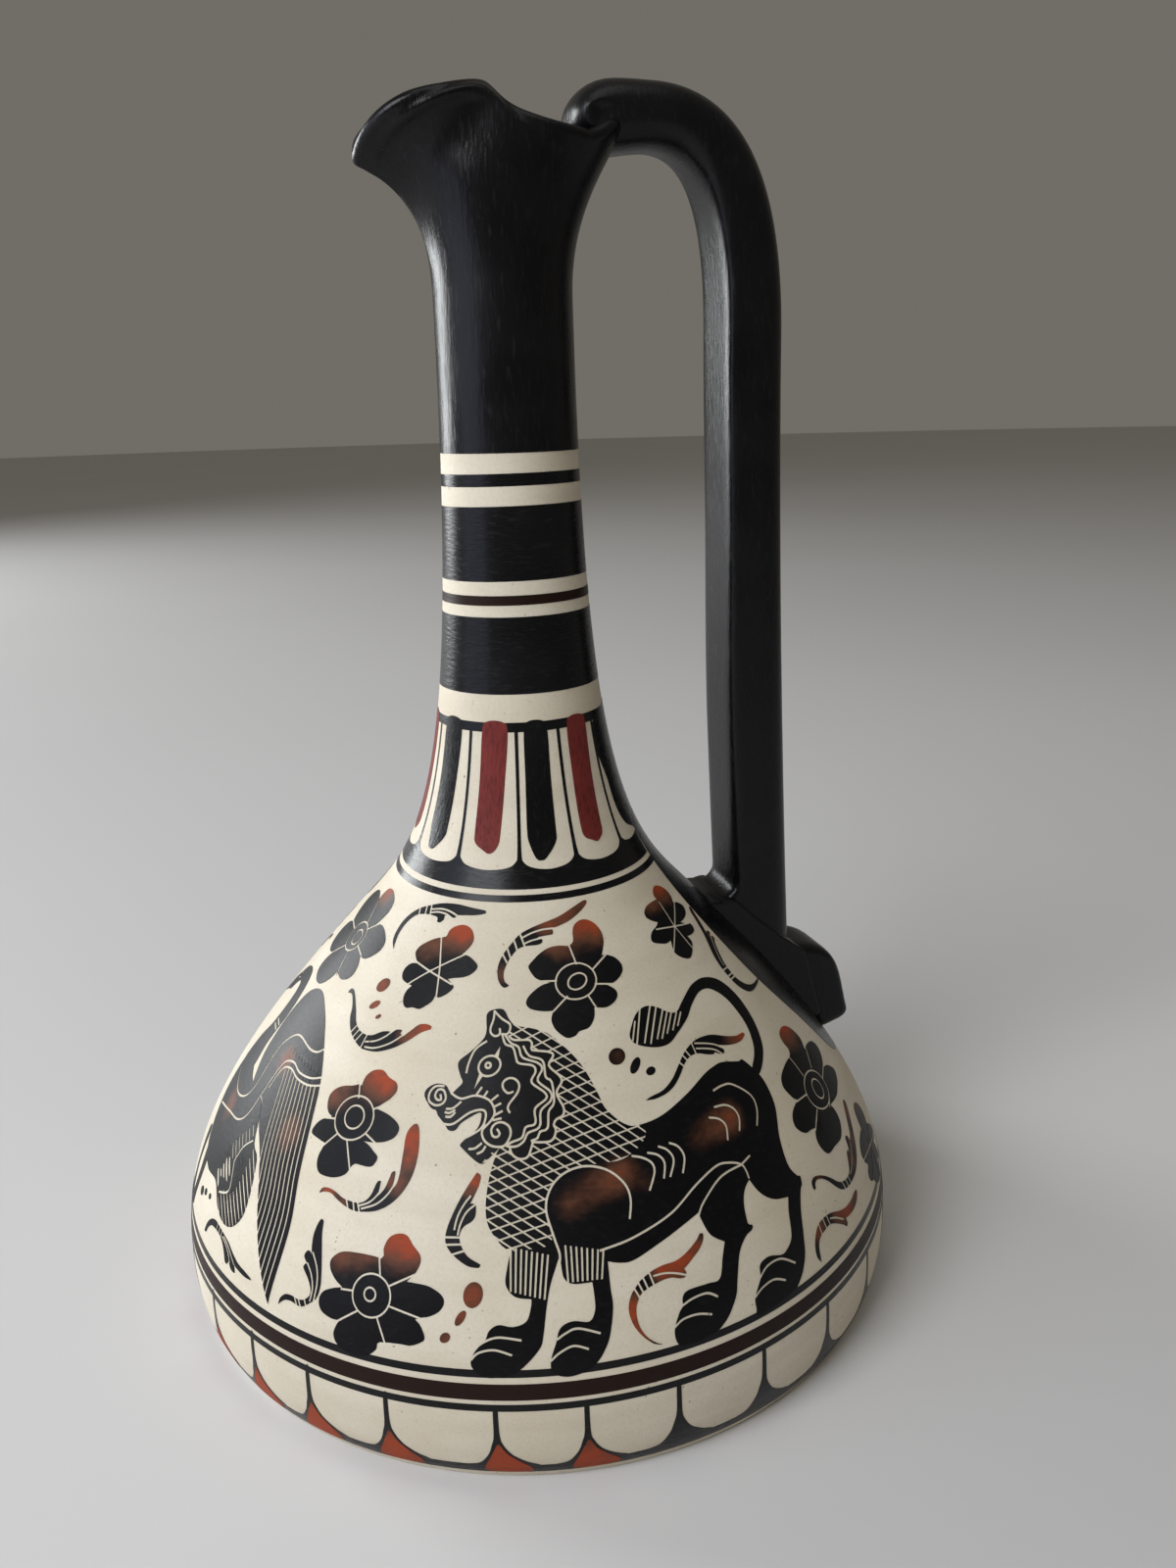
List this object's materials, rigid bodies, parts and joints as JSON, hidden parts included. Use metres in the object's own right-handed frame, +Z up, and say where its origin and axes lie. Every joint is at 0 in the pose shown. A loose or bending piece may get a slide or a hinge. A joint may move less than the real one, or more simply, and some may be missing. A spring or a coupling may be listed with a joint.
{
  "type": "conical pouring jug",
  "caption": "Painted clay pouring jug with a broad conical belly, long neck, pinched three-lobed mouth and a high strap handle, for holding and pouring liquids.",
  "frame": {"origin": "centre of the flat underside, on the axis of the belly", "axes": "+Z up along the neck, -X towards the spout, +X towards the handle"},
  "size_m": [0.1342, 0.1342, 0.2089],
  "materials": {
    "cream_slip": "matt cream slip under painted black, red and brown figures",
    "black_slip": "brushed black slip with a low sheen"
  },
  "bodies": {
    "root": {"belly": "cream_slip", "neck": "cream_slip", "pinched_mouth": "black_slip", "strap_handle": "black_slip", "handle_root": "black_slip", "handle_tail": "black_slip"}
  },
  "joints": []
}
